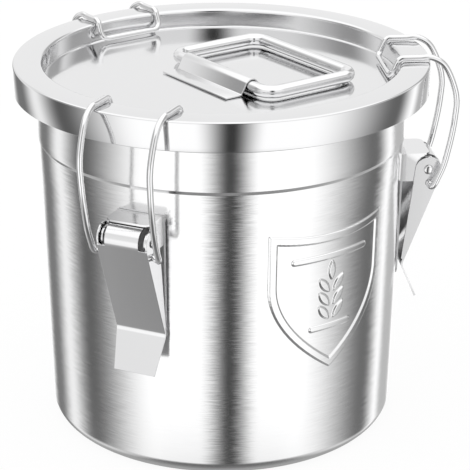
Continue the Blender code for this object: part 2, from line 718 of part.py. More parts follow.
BRUSHED = steel("brushed_steel", (0.62, 0.62, 0.63), 0.32)
POLISHED = steel("polished_steel", (0.78, 0.78, 0.79), 0.14)
BRIGHT_WIRE = steel("bright_wire", (0.82, 0.82, 0.83), 0.08)
SILICONE = finish("silicone", (0.86, 0.87, 0.87), 0.45, 0.0)

placed("barrel", barrel_mesh(), BRUSHED)
placed("lid", lid_mesh(), POLISHED)
placed("lid_seal", seal_mesh(), SILICONE)

handle_seat = seat("handle_axis", (0, 0, HANDLE_AXIS_HEIGHT), HANDLE_AZIMUTH)
handle_place = (HANDLE_ACROSS, -HANDLE_ALONG, 0)
placed("handle_bracket", handle_bracket_mesh(), POLISHED, handle_seat, handle_place)
placed("handle_bail", handle_mesh(), BRIGHT_WIRE, handle_seat, handle_place)

bracket = bracket_mesh()
lever = lever_mesh()
wire = wire_mesh()
rivet = rivet_mesh()
rivet.transform(Matrix.Rotation(-math.pi / 2, 4, "X"))
other_rivet = rivet.copy()
other_rivet.transform(Matrix.Rotation(math.pi, 4, "Z"))
wire.transform(Matrix.Translation((-WIRE_HOLE_OUT, 0, WIRE_HOLE_DROP)))
for index, latch in enumerate(LATCH_NAMES):
    azimuth = FIRST_LATCH_AZIMUTH + index * LATCH_TURN
    latch_seat = seat(latch + "_seat", (0, 0, 0), azimuth - math.pi / 2)
    pivot = (PIVOT_RADIUS, 0, PIVOT_HEIGHT)
    wire_place = (PIVOT_RADIUS + WIRE_HOLE_OUT, 0, PIVOT_HEIGHT - WIRE_HOLE_DROP)
    placed(latch + "_bracket", bracket, POLISHED, latch_seat, pivot)
    placed(latch + "_lever", lever, POLISHED, latch_seat, pivot)
    placed(latch + "_wire", wire, BRIGHT_WIRE, latch_seat, wire_place)
    placed(latch + "_rivet_left", other_rivet, BRIGHT_WIRE, latch_seat, pivot)
    placed(latch + "_rivet_right", rivet, BRIGHT_WIRE, latch_seat, pivot)
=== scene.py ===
"""Looks of a rice storage container: a brushed steel barrel, a polished dished lid with a folding handle, and three
wire toggle latches. Metres, +Z up; azimuths are counted from -Y, where the camera stands, towards +X."""

import math

import bmesh
import bpy
import numpy as np
from mathutils import Matrix, Vector


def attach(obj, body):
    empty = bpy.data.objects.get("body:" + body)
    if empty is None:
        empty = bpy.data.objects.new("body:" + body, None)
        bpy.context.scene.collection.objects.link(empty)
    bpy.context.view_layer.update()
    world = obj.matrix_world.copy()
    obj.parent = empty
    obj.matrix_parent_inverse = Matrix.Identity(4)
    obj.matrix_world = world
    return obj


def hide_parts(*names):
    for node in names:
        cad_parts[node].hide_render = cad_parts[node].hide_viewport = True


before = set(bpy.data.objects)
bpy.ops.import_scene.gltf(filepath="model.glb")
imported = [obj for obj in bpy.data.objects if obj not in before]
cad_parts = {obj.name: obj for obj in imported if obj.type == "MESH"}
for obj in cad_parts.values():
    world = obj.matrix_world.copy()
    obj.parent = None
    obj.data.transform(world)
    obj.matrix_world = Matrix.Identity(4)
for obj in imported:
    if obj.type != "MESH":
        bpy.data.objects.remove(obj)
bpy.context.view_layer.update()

# ---------------------------------------------------------------------------------------------------------------
# Studio. A white table and white walls with a few dark cards, which bare steel shows as its dark bands. Only
# mirrored rays see the cards and the dark table; all others see plain white.

scene = bpy.context.scene
scene.view_settings.view_transform = "Standard"

CAMERA_PLACE = (0, -1.1037, 0.5653)
CAMERA_TILT_DOWN = 0.3866
CAMERA_SENSOR = 36
CAMERA_LENS = 140.57
CAMERA_SHIFT = 0.029
CAMERA_REACH = 20

camera_lens = bpy.data.cameras.new("camera")
camera_lens.sensor_width = CAMERA_SENSOR
camera_lens.lens = CAMERA_LENS
camera_lens.shift_x = CAMERA_SHIFT
camera_lens.clip_end = CAMERA_REACH
camera = bpy.data.objects.new("camera", camera_lens)
scene.collection.objects.link(camera)
camera.location = CAMERA_PLACE
camera.rotation_euler = (math.pi / 2 - CAMERA_TILT_DOWN, 0, 0)
scene.camera = camera


class Shade:
    """A socket of a node tree. Sums on it add Math nodes, and node() adds any other kind."""

    def __init__(self, tree, socket=None):
        self.tree = tree
        self.socket = socket

    def node(self, kind, inputs=None, settings=None, output=0):
        made = self.tree.nodes.new("ShaderNode" + kind)
        for name, value in (settings or {}).items():
            setattr(made, name, value)
        for name, value in (inputs or {}).items():
            if isinstance(value, Shade):
                self.tree.links.new(value.socket, made.inputs[name])
            else:
                made.inputs[name].default_value = value
        return Shade(self.tree, made.outputs[output] if len(made.outputs) else None)

    def __getitem__(self, output):
        return Shade(self.tree, self.socket.node.outputs[output])

    def maths(self, operation, *values):
        return self.node("Math", dict(enumerate(values)), {"operation": operation})

    def __add__(self, other):
        return self.maths("ADD", self, other)

    def __sub__(self, other):
        return self.maths("SUBTRACT", self, other)

    def __mul__(self, other):
        return self.maths("MULTIPLY", self, other)

    def __rsub__(self, other):
        return self.maths("SUBTRACT", other, self)

    __radd__ = __add__
    __rmul__ = __mul__

    def between(self, low, high):
        """0 below low, 1 above high, and a soft step between them."""
        return self.node(
            "MapRange", {"Value": self, "From Min": low, "From Max": high}, {"interpolation_type": "SMOOTHSTEP"}
        )


# Dark cards round the horizon. A row gives the azimuths where a card begins, is full, starts to fade and ends, then
# the share of the light that it takes below the horizon and just above it. Higher up the room is plain white.
CARDS = (
    (-172, -149, -141, -116, 0.84, 0.12),
    (-128, -97, -96, -42, 0.90, 0.62),
    (-15, 5, 6, 25, 0.96, 0.97),
    (48, 110, 112, 132, 0.88, 0.52),
    (129, 140, 155, 168, 0.58, 0.50),
)
HORIZON = (-8, 8)
CARD_TOPS = (30, 42)
ROOM_LIGHT = 1.25
UPPER_LIGHT = 0.98

# The mirrored table is dark in front, lighter behind the barrel, and lighter again on both sides of it.
TABLE_EDGE = (-43, -31)
TABLE_BEHIND = (-0.70, 0.2)
TABLE_SIDES = (0.50, 0.75)
TABLE_LIGHT = 0.14
TABLE_BEHIND_LIGHT = 0.39
TABLE_SIDE_LIGHT = 0.40

room = bpy.data.worlds.new("room")
scene.world = room
room.use_nodes = True
room.node_tree.nodes.clear()
sky = Shade(room.node_tree)
towards = sky.node("SeparateXYZ", {0: sky.node("TexCoord")["Generated"]})
azimuth = sky.maths("ARCTAN2", towards["X"], -1 * towards["Y"]) * math.degrees(1)
height = sky.maths("ARCSINE", towards["Z"]) * math.degrees(1)
lower = 1 - height.between(*HORIZON)
upper = height.between(*HORIZON) - height.between(*CARD_TOPS)
seen = ROOM_LIGHT + (UPPER_LIGHT - ROOM_LIGHT) * upper
for begins, full, fades, ends, low_depth, high_depth in CARDS:
    within = azimuth.between(begins, full) * (1 - azimuth.between(fades, ends))
    seen = seen * (1 - within * (low_depth * lower + high_depth * upper))
table_side = 1 - height.between(*TABLE_EDGE)
behind = towards["Y"].between(*TABLE_BEHIND)
aside = sky.maths("ABSOLUTE", towards["X"]).between(*TABLE_SIDES)
table_light = TABLE_LIGHT + (TABLE_BEHIND_LIGHT - TABLE_LIGHT) * behind + TABLE_SIDE_LIGHT * aside
seen = seen * (1 - table_side) + table_light * table_side
mirrored = sky.node("LightPath")["Is Glossy Ray"]
strength = 1 + mirrored * (seen - 1)
backdrop = sky.node("Background", {"Color": (1, 1, 1, 1), "Strength": strength})
sky.node("OutputWorld", {"Surface": backdrop})
room.cycles.sampling_method = "NONE"

FLOOR_RADIUS = 6
FLOOR_DROP = 0.0002
TABLE_PAINT = (0.92, 0.92, 0.92, 1)
TABLE_GLOW = 1.01
TABLE_GLOW_SHARE = 0.90

bpy.ops.object.select_all(action="DESELECT")
bpy.ops.mesh.primitive_circle_add(
    vertices=64, radius=FLOOR_RADIUS, fill_type="NGON", location=(0, 0, -FLOOR_DROP)
)
floor = bpy.context.object
floor.name = "floor"
floor.visible_glossy = False
table_finish = bpy.data.materials.new("white_table")
table_finish.use_nodes = True
table_finish.node_tree.nodes.clear()
table = Shade(table_finish.node_tree)
paint = table.node("BsdfDiffuse", {"Color": TABLE_PAINT})
glow = table.node("Emission", {"Strength": TABLE_GLOW})
seen_straight = table.node("LightPath")["Is Camera Ray"]
lit = table.node("MixShader", {0: seen_straight * TABLE_GLOW_SHARE, 1: paint, 2: glow})
table.node("OutputMaterial", {"Surface": lit})
floor.data.materials.append(table_finish)

SOFTBOX_PLACE = (-0.5, -0.3, 1.6)
SOFTBOX_TILT = -0.25
SOFTBOX_SIZE = 1.6
SOFTBOX_POWER = 2.5

softbox_light = bpy.data.lights.new("softbox", "AREA")
softbox_light.size = SOFTBOX_SIZE
softbox_light.energy = SOFTBOX_POWER
softbox = bpy.data.objects.new("softbox", softbox_light)
scene.collection.objects.link(softbox)
softbox.location = SOFTBOX_PLACE
softbox.rotation_euler = (0, SOFTBOX_TILT, 0)
softbox.visible_glossy = False

# ---------------------------------------------------------------------------------------------------------------
# Barrel. One deep-drawn stainless shell, brushed round its body on a lathe, with its mouth turned out into a lip
# and a shield of an ear of grain pressed out of its side from within.

SHEET = 0.0008
MOUTH_RADIUS = 0.1151
MOUTH_BEND = 0.0015
LIP_EDGE = 0.1259
LIP_TOP = 0.2322
LIP_TURN_DOWN = 0.0038
BAND_RADIUS = 0.1159
BAND_FOOT = 0.1893
STEP_FOOT = 0.1871
BODY_TOP_RADIUS = 0.1149
BODY_BASE_RADIUS = 0.1112
BASE_BEND = 0.0095
STEP_EDGE = 0.0003
BAND_EDGE = 0.0004
BAND_RUN = 0.004

# A turned profile starts and ends at AXIS_GAP from the axis, and its poles are closed there.
AXIS_GAP = 0.002
FLAT_RADIUS = 0.09
ROUND_STEPS = 256
WELD = 0.00001

SHIELD_TOP = 0.1594
SHIELD_HEIGHT = 0.0925
SHIELD_HALF_WIDTH = 0.0425
SHIELD_AZIMUTH = math.radians(35.6)
SHIELD_MARGIN = 0.004
SHIELD_RINGS = 36
SHIELD_CUTS = 6
PRESS_SOFTNESS = 0.0009
PRESS_HEIGHT = 0.0009
SHOULDER = 0.5


def bend(centre_radius, centre_height, radius, start, end, steps=6):
    """Points of a round bend in a turned profile, between two angles in degrees."""
    angles = [math.radians(start + (end - start) * step / steps) for step in range(steps + 1)]
    return [(centre_radius + radius * math.cos(a), centre_height + radius * math.sin(a)) for a in angles]


def spun(name, outline, around):
    """Draws a ring out along a profile of (radius, height) points, as metal is drawn over a form on a lathe."""
    bpy.ops.object.select_all(action="DESELECT")
    bpy.ops.mesh.primitive_circle_add(vertices=around, radius=outline[0][0], location=(0, 0, outline[0][1]))
    piece = bpy.context.object
    piece.name = name
    piece.data.name = name
    bpy.ops.object.mode_set(mode="EDIT")
    bpy.ops.mesh.select_all(action="SELECT")
    for (radius, height), (next_radius, next_height) in zip(outline, outline[1:]):
        rise = (0, 0, next_height - height)
        bpy.ops.mesh.extrude_edges_move(TRANSFORM_OT_translate={"value": rise})
        growth = next_radius / radius
        bpy.ops.transform.resize(value=(growth, growth, 1), center_override=(0, 0, 0))
    if outline[0] == outline[-1]:
        bpy.ops.mesh.select_all(action="SELECT")
        bpy.ops.mesh.remove_doubles(threshold=WELD)
    else:
        bpy.ops.mesh.merge(type="CENTER")
        bpy.ops.mesh.select_non_manifold(extend=False)
        bpy.ops.mesh.merge(type="CENTER")
        bpy.ops.mesh.select_all(action="SELECT")
    bpy.ops.mesh.normals_make_consistent(inside=False)
    bpy.ops.object.mode_set(mode="OBJECT")
    bpy.ops.object.transform_apply()
    bpy.ops.object.shade_smooth_by_angle(angle=math.radians(25))
    return piece


def body_radius(height):
    return BODY_BASE_RADIUS + (BODY_TOP_RADIUS - BODY_BASE_RADIUS) * height / STEP_FOOT


base_bend_radius = body_radius(BASE_BEND) - BASE_BEND
outline = [(AXIS_GAP, 0), (FLAT_RADIUS, 0)]
outline += bend(base_bend_radius, BASE_BEND, BASE_BEND, -90, 0, 12)
for ring in range(SHIELD_RINGS + 1):
    ring_height = SHIELD_TOP - SHIELD_HEIGHT - SHIELD_MARGIN
    ring_height += (SHIELD_HEIGHT + 2 * SHIELD_MARGIN) * ring / SHIELD_RINGS
    outline.append((body_radius(ring_height), ring_height))
outline += bend(BODY_TOP_RADIUS - STEP_EDGE, STEP_FOOT - STEP_EDGE, STEP_EDGE, 0, 40, 2)
outline += bend(BAND_RADIUS - BAND_EDGE, BAND_FOOT, BAND_EDGE, -40, 0, 3)
outline.append((BAND_RADIUS, BAND_FOOT + BAND_RUN))
outline += bend(BAND_RADIUS + MOUTH_BEND, LIP_TOP - SHEET - MOUTH_BEND, MOUTH_BEND, 180, 90)
outline += bend(LIP_EDGE - 2 * SHEET, LIP_TOP - 2 * SHEET, SHEET, 90, 0, 4)
outline += [(LIP_EDGE - SHEET, LIP_TOP - LIP_TURN_DOWN)]
outline += bend(LIP_EDGE - SHEET / 2, LIP_TOP - LIP_TURN_DOWN, SHEET / 2, 180, 360, 4)
outline += bend(LIP_EDGE - 2 * SHEET, LIP_TOP - 2 * SHEET, 2 * SHEET, 0, 90, 4)
outline += bend(BAND_RADIUS + MOUTH_BEND, LIP_TOP - SHEET - MOUTH_BEND, MOUTH_BEND + SHEET, 90, 180)
outline += [(MOUTH_RADIUS, BAND_FOOT), (BODY_TOP_RADIUS - SHEET, STEP_FOOT)]
outline += bend(base_bend_radius, BASE_BEND, BASE_BEND - SHEET, 0, -90, 12)
outline += [(FLAT_RADIUS, SHEET), (AXIS_GAP, SHEET)]
barrel = spun("barrel_shell", outline, ROUND_STEPS)

SHIELD_DIP = 0.0040
DIP_STEPS = 12
STRAIGHT_SHARE = 0.36
FOOT_STEPS = 16


def shield_loop():
    """The shield's outline: dipped top, straight upper sides and a pointed foot, by (across, down) from its top."""
    dip_places = [step / DIP_STEPS for step in range(-DIP_STEPS, DIP_STEPS)]
    loop = [(SHIELD_HALF_WIDTH * place, SHIELD_DIP * (1 - place**2)) for place in dip_places]
    straight = STRAIGHT_SHARE * SHIELD_HEIGHT
    side = [(SHIELD_HALF_WIDTH, 0), (SHIELD_HALF_WIDTH, straight)]
    for step in range(1, FOOT_STEPS):
        share = step / FOOT_STEPS
        side.append((SHIELD_HALF_WIDTH * (1 - share * share), straight + (SHIELD_HEIGHT - straight) * share))
    loop += side + [(0, SHIELD_HEIGHT)]
    return loop + [(-x, y) for x, y in reversed(side[1:])]


BORDER_WIDTH = 0.0046
BAR_HALF_WIDTH = 0.0017

# Each bar's place down the shield and its half length, as shares of the shield's height and half width. The ear's
# grains are shares of the height: one at the top, then a pair to a row, which lean out by so many degrees.
BARS = ((0.20, 0.66), (0.70, 0.36))
EAR_TOP = 0.305
GRAIN_PITCH = 0.097
GRAIN_SIDE = 0.058
GRAIN_LEAN = 38
GRAIN_HALF_LENGTH = 0.0675
GRAIN_HALF_WIDTH = 0.027
GRAIN_FULLNESS = 0.7
GRAIN_SHOULDER = 0.3
GRAINS = [(0, EAR_TOP, 0)]
for row in (1, 2, 3):
    GRAINS += [(hand * GRAIN_SIDE, EAR_TOP + GRAIN_PITCH * row, hand * GRAIN_LEAN) for hand in (-1, 1)]


def away_from(across, down, start, end):
    """Distance of each place from a straight stretch."""
    run, drop = end[0] - start[0], end[1] - start[1]
    share = np.clip(((across - start[0]) * run + (down - start[1]) * drop) / (run * run + drop * drop), 0, 1)
    return np.hypot(across - start[0] - run * share, down - start[1] - drop * share)


def pressed(share):
    """A pressed edge: flat, then a soft shoulder on each side."""
    share = np.clip(share, 0, 1)
    return share * share * (3 - 2 * share)


def relief(across, down):
    """How far the shield stands out of the body at each place."""
    loop = shield_loop()
    edge = np.full(across.shape, np.inf)
    within = np.zeros(across.shape, bool)
    for (ax, ay), (bx, by) in zip(loop, loop[1:] + loop[:1]):
        edge = np.minimum(edge, away_from(across, down, (ax, ay), (bx, by)))
        if ay != by:
            within ^= ((ay > down) != (by > down)) & (across < (bx - ax) * (down - ay) / (by - ay) + ax)
    depth = np.where(within, edge, -edge)
    ridge = BORDER_WIDTH / 2 - np.abs(depth - BORDER_WIDTH / 2)
    highest = pressed(ridge / PRESS_SOFTNESS + SHOULDER)
    for height_share, length_share in BARS:
        half = length_share * SHIELD_HALF_WIDTH - BAR_HALF_WIDTH
        middle = height_share * SHIELD_HEIGHT
        off = away_from(across, down, (-half, middle), (half, middle))
        highest = np.maximum(highest, pressed((BAR_HALF_WIDTH - off) / PRESS_SOFTNESS + SHOULDER))
    for side, drop, lean in GRAINS:
        x, y = across - side * SHIELD_HEIGHT, down - drop * SHIELD_HEIGHT
        sine, cosine = math.sin(math.radians(lean)), math.cos(math.radians(lean))
        along = np.clip((y * cosine - x * sine) / (GRAIN_HALF_LENGTH * SHIELD_HEIGHT), -1, 1)
        half_width = GRAIN_HALF_WIDTH * SHIELD_HEIGHT * np.cos(math.pi / 2 * along) ** GRAIN_FULLNESS
        bead = pressed((half_width - np.abs(x * cosine + y * sine)) / PRESS_SOFTNESS + GRAIN_SHOULDER)
        highest = np.maximum(highest, np.where(np.abs(along) < 1, bead, 0))
    return PRESS_HEIGHT * highest


def shield_place(point):
    """(across, down) of a point of the body, from the shield's top middle."""
    azimuth = math.atan2(point.x, -point.y)
    return (azimuth - SHIELD_AZIMUTH) * body_radius(point.z), SHIELD_TOP - point.z


bpy.ops.object.mode_set(mode="EDIT")
bpy.ops.mesh.select_all(action="DESELECT")
shell = bmesh.from_edit_mesh(barrel.data)
reach = SHIELD_HALF_WIDTH + SHIELD_MARGIN
for face in shell.faces:
    middle = face.calc_center_median()
    across, down = shield_place(middle)
    outward = face.normal.x * middle.x + face.normal.y * middle.y > 0
    face.select = outward and abs(across) < reach and -SHIELD_MARGIN < down < SHIELD_HEIGHT + SHIELD_MARGIN
bmesh.update_edit_mesh(barrel.data)
bpy.ops.mesh.subdivide(number_cuts=SHIELD_CUTS)
bpy.ops.object.mode_set(mode="OBJECT")
chosen = [vertex for vertex in barrel.data.vertices if vertex.select]
places = np.array([shield_place(vertex.co) for vertex in chosen])
for vertex, out in zip(chosen, relief(places[:, 0], places[:, 1])):
    growth = (body_radius(vertex.co.z) + out) / math.hypot(vertex.co.x, vertex.co.y)
    vertex.co = (vertex.co.x * growth, vertex.co.y * growth, vertex.co.z)
bpy.ops.object.shade_smooth_by_angle(angle=math.radians(62))


def metal(name, colour, anisotropic=0.0, turn=0.0):
    """A bare metal material and its Principled shader, ready for its grain."""
    material = bpy.data.materials.new(name)
    material.use_nodes = True
    shader = material.node_tree.nodes["Principled BSDF"]
    shader.inputs["Base Color"].default_value = (*colour, 1)
    shader.inputs["Metallic"].default_value = 1
    shader.inputs["Anisotropic"].default_value = anisotropic
    shader.inputs["Anisotropic Rotation"].default_value = turn
    return material, shader, Shade(material.node_tree)


def connect(value, shader, socket):
    value.tree.links.new(value.socket, shader.inputs[socket])


def grain_lines(flow, scale, detail=3.0):
    """Fine lines, drawn out along the axes that have the smaller scale."""
    place = flow.node("Mapping", {"Vector": flow.node("TexCoord")["Object"], "Scale": scale})
    return flow.node("TexNoise", {"Vector": place, "Scale": 1.0, "Detail": detail, "Roughness": 0.6})


brushed_steel, shader, flow = metal("brushed_steel", (0.87, 0.87, 0.873), 0.5, 0.25)
lines = grain_lines(flow, (80, 80, 2300))
connect(0.10 + 0.08 * lines, shader, "Roughness")
bare = flow.node("NewGeometry")["Normal"]
sideways = flow.node("VectorMath", {0: (0, 0, 1), 1: bare}, {"operation": "CROSS_PRODUCT"})
place = flow.node("SeparateXYZ", {0: flow.node("TexCoord")["Object"]})
body = 1 - place["Z"].between(STEP_FOOT, BAND_FOOT)
wander = (lines - 0.5) * (0.04 + 0.07 * body)
swing = flow.node("VectorMath", {0: sideways, "Scale": wander}, {"operation": "SCALE"})
tilted = flow.node("VectorMath", {0: bare, 1: swing}, {"operation": "ADD"})
level = flow.node("VectorMath", {0: tilted}, {"operation": "NORMALIZE"})
connect(level, shader, "Normal")
barrel.data.materials.append(brushed_steel)
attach(barrel, "barrel_body")
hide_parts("barrel")

# ---------------------------------------------------------------------------------------------------------------
# Lid. One polished stainless sheet, spun into a dished pan with a flat rim and a short hemmed skirt. It lies loose
# on the barrel, and the three latches alone hold it down.

LID_RADIUS = 0.130
LID_TOP = 0.2366
RECESS_RADIUS = 0.1117
RECESS_FLOOR = 0.22405
FLOOR_BEND = 0.0014
INNER_BEND = 0.0022
OUTER_BEND = 0.0013
SKIRT_FOOT = 0.2184
HEM_WIDTH = 0.0016
HEM_HEIGHT = 0.0020
HEM_EDGE = 0.0008
SKIRT_EDGE = 0.0004
FLOOR_RING = 0.04

inner_radius = LID_RADIUS - SHEET
outline = [(AXIS_GAP, RECESS_FLOOR), (FLOOR_RING, RECESS_FLOOR), (FLAT_RADIUS, RECESS_FLOOR)]
outline += bend(RECESS_RADIUS - FLOOR_BEND, RECESS_FLOOR + FLOOR_BEND, FLOOR_BEND, -90, 0)
outline += bend(RECESS_RADIUS + INNER_BEND, LID_TOP - INNER_BEND, INNER_BEND, 180, 90, 8)
outline += bend(LID_RADIUS - OUTER_BEND, LID_TOP - OUTER_BEND, OUTER_BEND, 90, 0, 6)
outline += bend(LID_RADIUS - SKIRT_EDGE, SKIRT_FOOT + SKIRT_EDGE, SKIRT_EDGE, 0, -90, 3)
outline += bend(inner_radius - HEM_WIDTH + HEM_EDGE, SKIRT_FOOT + HEM_EDGE, HEM_EDGE, -90, -180, 3)
outline += [(inner_radius - HEM_WIDTH, SKIRT_FOOT + HEM_HEIGHT), (inner_radius, SKIRT_FOOT + HEM_HEIGHT)]
outline += [(inner_radius, LID_TOP - OUTER_BEND), (LID_RADIUS - OUTER_BEND, LID_TOP - SHEET)]
outline += bend(RECESS_RADIUS + INNER_BEND, LID_TOP - INNER_BEND, INNER_BEND - SHEET, 90, 180, 4)
outline += bend(RECESS_RADIUS - FLOOR_BEND, RECESS_FLOOR + FLOOR_BEND, FLOOR_BEND + SHEET, 0, -90, 4)
outline += [(FLAT_RADIUS, RECESS_FLOOR - SHEET), (AXIS_GAP, RECESS_FLOOR - SHEET)]
lid = spun("lid_pan", outline, ROUND_STEPS)

PALE_STEEL = (0.80, 0.80, 0.805)


def out_from_axis(flow):
    """How far each point of a surface is from the barrel's upright axis."""
    place = flow.node("SeparateXYZ", {0: flow.node("TexCoord")["Object"]})
    return flow.maths("SQRT", place["X"] * place["X"] + place["Y"] * place["Y"])


polished_steel, shader, flow = metal("polished_steel", PALE_STEEL, 0.5, 0.25)
lines = grain_lines(flow, (60, 60, 1800), 2.0)
dish = 1 - out_from_axis(flow).between(RECESS_RADIUS, RECESS_RADIUS + INNER_BEND)
connect(0.04 + 0.06 * lines + 0.03 * dish, shader, "Roughness")
lid.data.materials.append(polished_steel)
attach(lid, "lid_body")
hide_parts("lid")

# ---------------------------------------------------------------------------------------------------------------
# Sealing ring. Soft white silicone, moulded as one flat ring with rounded edges. It lies unpressed between the
# lid's rim and the barrel's lip, and stays with the lid.

RING_INSIDE = 0.1166
RING_OUTSIDE = 0.1271
RING_FOOT = 0.2325
RING_TOP = 0.2355
RING_EDGE = 0.0007
RING_STEPS = 192

outline = bend(RING_INSIDE + RING_EDGE, RING_FOOT + RING_EDGE, RING_EDGE, 270, 180, 4)
outline += bend(RING_INSIDE + RING_EDGE, RING_TOP - RING_EDGE, RING_EDGE, 180, 90, 4)
outline += bend(RING_OUTSIDE - RING_EDGE, RING_TOP - RING_EDGE, RING_EDGE, 90, 0, 4)
outline += bend(RING_OUTSIDE - RING_EDGE, RING_FOOT + RING_EDGE, RING_EDGE, 0, -90, 4)
seal = spun("sealing_ring", outline + outline[:1], RING_STEPS)

silicone = bpy.data.materials.new("silicone")
silicone.use_nodes = True
shader = silicone.node_tree.nodes["Principled BSDF"]
flow = Shade(silicone.node_tree)
cloud = grain_lines(flow, (40, 40, 40), 2.0)
tint = flow.node(
    "Mix",
    {0: cloud, 6: (0.80, 0.82, 0.82, 1), 7: (0.90, 0.91, 0.91, 1)},
    {"data_type": "RGBA"},
    output=2,
)
connect(tint, shader, "Base Color")
connect(0.38 + 0.12 * cloud, shader, "Roughness")
seal.data.materials.append(silicone)
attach(seal, "lid_body")
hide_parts("lid_seal")

# ---------------------------------------------------------------------------------------------------------------
# Handle strip. A 1 mm stainless strip: its flat foot is spot-welded to the lid's floor, and its slanted web runs up
# into a curl, rolled round the handle's rod.

HANDLE_HINGE = Vector((-0.001255, -0.011475, 0.22885))
HANDLE_AZIMUTH = math.radians(35.6)
STRIP_LENGTH = 0.0680
STRIP_SHEET = 0.0010
STRIP_CURL = 0.0053
STRIP_FOOT_START = -0.0195
STRIP_FOOT_TOP = -0.0035
STRIP_WEB_START = -0.00809
STRIP_FOLD = 0.0008
CURL_START = 150.4
CURL_END = -42
SHEET_EDGE = 0.00025

handle_place = Matrix.Translation(HANDLE_HINGE) @ Matrix.Rotation(HANDLE_AZIMUTH, 4, "Z")
web_slope = 90 - (180 - CURL_START)
fold_reach = STRIP_FOLD * math.tan(math.radians(web_slope / 2))
fold_at = STRIP_WEB_START - fold_reach
outline = bend(fold_at, STRIP_FOOT_TOP + STRIP_FOLD, STRIP_FOLD, -90, web_slope - 90, 5)
outline += bend(0, 0, STRIP_CURL, CURL_START, CURL_END, 40)
bpy.ops.object.select_all(action="DESELECT")
bpy.ops.mesh.primitive_grid_add(
    x_subdivisions=1, y_subdivisions=1, size=STRIP_LENGTH, location=(STRIP_FOOT_START, 0, STRIP_FOOT_TOP)
)
strip = bpy.context.object
strip.name = strip.data.name = "handle_strip"
bpy.ops.object.mode_set(mode="EDIT")
bpy.ops.mesh.select_all(action="SELECT")
foot_width = fold_at - STRIP_FOOT_START
foot_start = (STRIP_FOOT_START - STRIP_LENGTH / 2, 0, 0)
bpy.ops.transform.resize(value=(foot_width / STRIP_LENGTH, 1, 1), center_override=foot_start)
bpy.ops.transform.translate(value=(STRIP_LENGTH / 2, 0, 0))
bpy.ops.mesh.select_all(action="DESELECT")
sheet = bmesh.from_edit_mesh(strip.data)
bpy.ops.mesh.select_mode(type="EDGE")
for edge in sheet.edges:
    edge.select = all(vertex.co.x > foot_width / 2 for vertex in edge.verts)
bmesh.update_edit_mesh(strip.data)
for (x, z), (next_x, next_z) in zip(outline, outline[1:]):
    bpy.ops.mesh.extrude_edges_move(TRANSFORM_OT_translate={"value": (next_x - x, 0, next_z - z)})
bpy.ops.mesh.select_all(action="SELECT")
bpy.ops.mesh.normals_make_consistent(inside=False)
bpy.ops.object.mode_set(mode="OBJECT")
bpy.ops.object.transform_apply()
thicken = strip.modifiers.new("sheet", "SOLIDIFY")
thicken.thickness = STRIP_SHEET
thicken.offset = -1
thicken.use_even_offset = True
bpy.ops.object.modifier_apply(modifier=thicken.name)
soften = strip.modifiers.new("edge", "BEVEL")
soften.width = SHEET_EDGE
soften.segments = 3
soften.limit_method = "ANGLE"
soften.angle_limit = math.radians(50)
bpy.ops.object.modifier_apply(modifier=soften.name)
bpy.ops.object.shade_smooth_by_angle(angle=math.radians(40))
strip.data.transform(handle_place)

sheet_steel, shader, flow = metal("sheet_steel", PALE_STEEL, 0.2)
lines = grain_lines(flow, (700, 700, 14), 2.0)
connect(0.09 + 0.08 * lines, shader, "Roughness")
strip.data.materials.append(sheet_steel)
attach(strip, "lid_body")
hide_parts("handle_bracket")

# ---------------------------------------------------------------------------------------------------------------
# Handle rod. 8 mm bright stainless rod, bent cold into a rectangle and butt-welded shut. Its near side turns in the
# strip's curl.

ROD_RADIUS = 0.0040
HANDLE_LENGTH = 0.1008
HANDLE_REACH = 0.0670
HANDLE_CORNER = 0.0095


def rod(name, line, radius, closed=False):
    """A round bar drawn along a line, with closed ends, as a mesh."""
    bpy.ops.object.select_all(action="DESELECT")
    path = bpy.data.curves.new(name, "CURVE")
    path.dimensions = "3D"
    path.bevel_depth = radius
    path.bevel_resolution = 6
    path.use_fill_caps = True
    spline = path.splines.new("POLY")
    spline.points.add(len(line) - 1)
    spline.use_cyclic_u = closed
    for knot, place in zip(spline.points, line):
        knot.co = (*place, 1)
    piece = bpy.data.objects.new(name, path)
    scene.collection.objects.link(piece)
    bpy.context.view_layer.objects.active = piece
    piece.select_set(True)
    bpy.ops.object.convert(target="MESH")
    bpy.ops.object.mode_set(mode="EDIT")
    bpy.ops.mesh.select_all(action="SELECT")
    bpy.ops.mesh.remove_doubles(threshold=WELD)
    bpy.ops.mesh.normals_make_consistent(inside=False)
    bpy.ops.object.mode_set(mode="OBJECT")
    bpy.ops.object.shade_smooth_by_angle(angle=math.radians(50))
    return bpy.context.object


far = HANDLE_REACH - HANDLE_CORNER
half = HANDLE_LENGTH / 2 - HANDLE_CORNER
line = []
for index, (x, y) in enumerate(((far, half), (HANDLE_CORNER, half), (HANDLE_CORNER, -half), (far, -half))):
    line += [Vector((out, side, 0)) for out, side in bend(x, y, HANDLE_CORNER, 90 * index, 90 * index + 90, 14)]
handle = rod("handle_rod", line, ROD_RADIUS, closed=True)
handle.data.transform(handle_place)

bright_wire, shader, flow = metal("bright_wire", (0.84, 0.84, 0.845))
lines = grain_lines(flow, (900, 900, 40), 2.0)
connect(0.05 + 0.04 * lines, shader, "Roughness")
handle.data.materials.append(bright_wire)
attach(handle, "handle_body")
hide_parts("handle_bail")

# ---------------------------------------------------------------------------------------------------------------
# Latch brackets. Each is folded from 1.2 mm stainless sheet: a base plate, spot-welded to the barrel's side, with a
# hood above the pivot and an ear on each side of it. The plate is duller than the folds, which the press burnishes.

LATCHES = ("latch_a", "latch_b", "latch_c")
PLATE_OUTSIDE = 0.1172
PLATE_FADE = 0.0013
CAD_WELD = 0.000002
FLAT_WITHIN = math.radians(0.6)
FOLD_ANGLE = math.radians(28)

